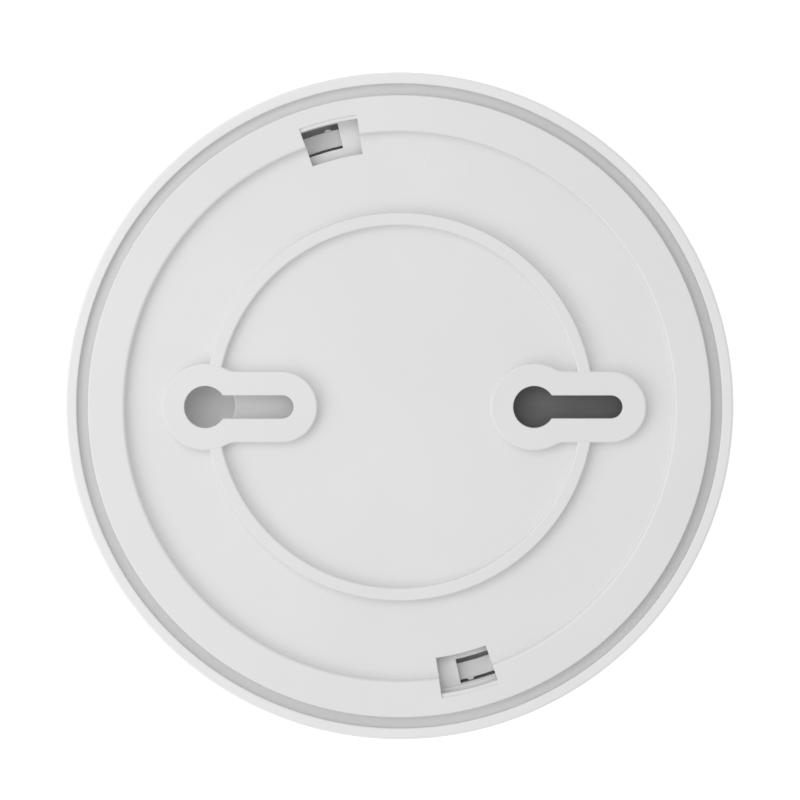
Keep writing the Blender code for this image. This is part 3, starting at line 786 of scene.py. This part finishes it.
front = front_shell()
sounder_slots = []
for i in range(5):
    y = SOUNDER_XY[1] + 3.2 * (i - 2)
    half = math.sqrt(max(9.5**2 - (3.2 * (i - 2)) ** 2, 0))
    x0, x1 = SOUNDER_XY[0] - half, SOUNDER_XY[0] + half
    sounder_slots.append(arc(x1, y, 0.8, -90, 90, 12) + arc(x0, y, 0.8, 90, 270, 12))
cut(front, prisms("front_holes", sounder_slots + [disc(*PIPE_XY, 1.8, 32)], -40, -30))
shade(front, curved_below=-2.95)
put(front, "detector", WHITE_SHADE_LIFTED, "front_cover")

# ------------------------------------------------------------------ button
button = turned("button_cap", filleted([
    (0, -37.18), (4.0, -37.14), (8.0, -36.94), (12.0, -36.40, 0.9), (12.0, -33.9, 0.1), (13.4, -33.9, 0.15),
    (13.4, -32.9, 0.15), (10.7, -32.9, 0.2), (10.7, -35.0, 0.6), (2.3, -35.1, 0.6), (2.3, -19.6, 0.3), (0, -19.6),
], 12), 120)
shade(button)
put(button, "button", WHITE_BUTTON, "test_button")

# ------------------------------------------------------------------ battery
bx = 30.75
battery_rings = []
for k in range(5):
    t = math.pi / 2 * k / 4
    battery_rings.append((-24.3 + 1.0 * (1 - math.sin(t)), 1.0 * (1 - math.cos(t))))
outline = lambda g: [(x, z) for x, z in rounded_rectangle(-13.25 + g, 13.25 - g, -8.75 + g, 8.75 - g, 2.2, 8)]
levels = [(-24.3, 0.9), (-24.2, 0.45), (-23.9, 0.12), (-23.4, 0.0), (21.1, 0.0), (21.6, 0.12), (21.9, 0.45), (22.0, 0.9)]
battery = loft("battery_jacketed", [(outline(g), y) for y, g in levels])
battery.data.transform(Matrix.Rotation(math.radians(-90), 4, "X"))
battery.data.transform(Matrix.Translation(Vector((bx, 0, -13.75))))
shade(battery, 40)
put(battery, "detector", JACKET, "battery_body")

# ------------------------------------------------------------------ carried-over nodes
FINISHES = {
    "light_pipe": CLEAR, "circuit_board": GREEN, "chamber_base": BLACK_MOULDED,
    "chamber_cap": BLACK_MOULDED, "insect_screen": WIRE, "ir_emitter": DARK_LENS,
    "photodiode": DARK_LENS, "sounder_housing": WHITE_SHADE_LIFTED, "piezo_disc": BRASS,
    "piezo_ceramic": CERAMIC, "sounder_contact_centre": NICKEL, "sounder_contact_edge": NICKEL,
    "battery_terminal_pos": NICKEL, "battery_terminal_neg": NICKEL, "battery_contact_pos": NICKEL,
    "battery_contact_neg": NICKEL, "switch_body": EPOXY, "switch_plunger": EPOXY,
    "microcontroller": EPOXY, "sounder_driver": EPOXY, "crystal": NICKEL, "boost_coil": FERRITE,
    "capacitor": SLEEVE, "status_led": RED, "board_screw_1": ZINC, "board_screw_2": ZINC,
    "board_screw_3": ZINC,
}
for name, mat in FINISHES.items():
    paint(NODES[name], mat)

# ------------------------------------------------------------------ stage
FLOOR_Z = CAD_BOX[0].z - 0.0002


def floor():
    g = Graph("studio_floor")
    s = g.shader
    cloud = g.noise(2.0, 2.0, 0.5)
    g.link(g.mix(g.remap(cloud, 0.0, 1.0), (0.89, 0.89, 0.89), (0.91, 0.91, 0.91)), s.inputs["Base Color"])
    s.inputs["Roughness"].default_value = 0.9
    s.inputs["Specular IOR Level"].default_value = 0.0
    s.inputs["Emission Color"].default_value = (1, 1, 1, 1)
    s.inputs["Emission Strength"].default_value = 0.42
    bm = bmesh.new()
    bmesh.ops.create_grid(bm, x_segments=2, y_segments=2, size=6.0)
    bmesh.ops.translate(bm, verts=bm.verts, vec=(0, 0, FLOOR_Z))
    plane = from_bmesh("floor", bm)
    paint(plane, g.mat)


floor()

world = bpy.data.worlds.new("studio")
bpy.context.scene.world = world
world.use_nodes = True
world.node_tree.nodes["Background"].inputs["Color"].default_value = (1, 1, 1, 1)
world.node_tree.nodes["Background"].inputs["Strength"].default_value = 0.645


def area(name, at, size, power, target=(0, 0, -0.01)):
    light = bpy.data.lights.new(name, "AREA")
    light.shape = "RECTANGLE"
    light.size, light.size_y = size
    light.energy = power
    obj = bpy.data.objects.new(name, light)
    obj.location = at
    obj.visible_camera = False
    obj.rotation_euler = (Vector(target) - Vector(at)).to_track_quat("-Z", "Y").to_euler()
    bpy.context.scene.collection.objects.link(obj)
    return obj


area("key_left", (-0.40, -0.13, 0.36), (0.60, 0.34), 0.90)
area("fill_top", (-0.20, 0.26, 0.55), (0.4, 0.4), 0.70)

scene = bpy.context.scene
scene.view_settings.view_transform = "Standard"
scene.view_settings.look = "None"
scene.view_settings.exposure = 0.0
scene.view_settings.gamma = 1.0

camera_data = bpy.data.cameras.new("camera")
camera = bpy.data.objects.new("camera", camera_data)
bpy.context.scene.collection.objects.link(camera)
DISTANCE = 1.15
camera_data.sensor_width = 36.0
camera_data.lens = 36.0 * DISTANCE / (0.8 / 5.485)
camera_data.clip_start, camera_data.clip_end = 0.05, 50.0
camera_data.dof.use_dof = False
TILT = 0.05              # radians; the view leans a little over the +Y edge
camera.location = (0.11 * MM, 1.29 * MM + DISTANCE * math.sin(TILT), DISTANCE * math.cos(TILT))
camera.rotation_euler = (-TILT, 0, 0)
scene.camera = camera
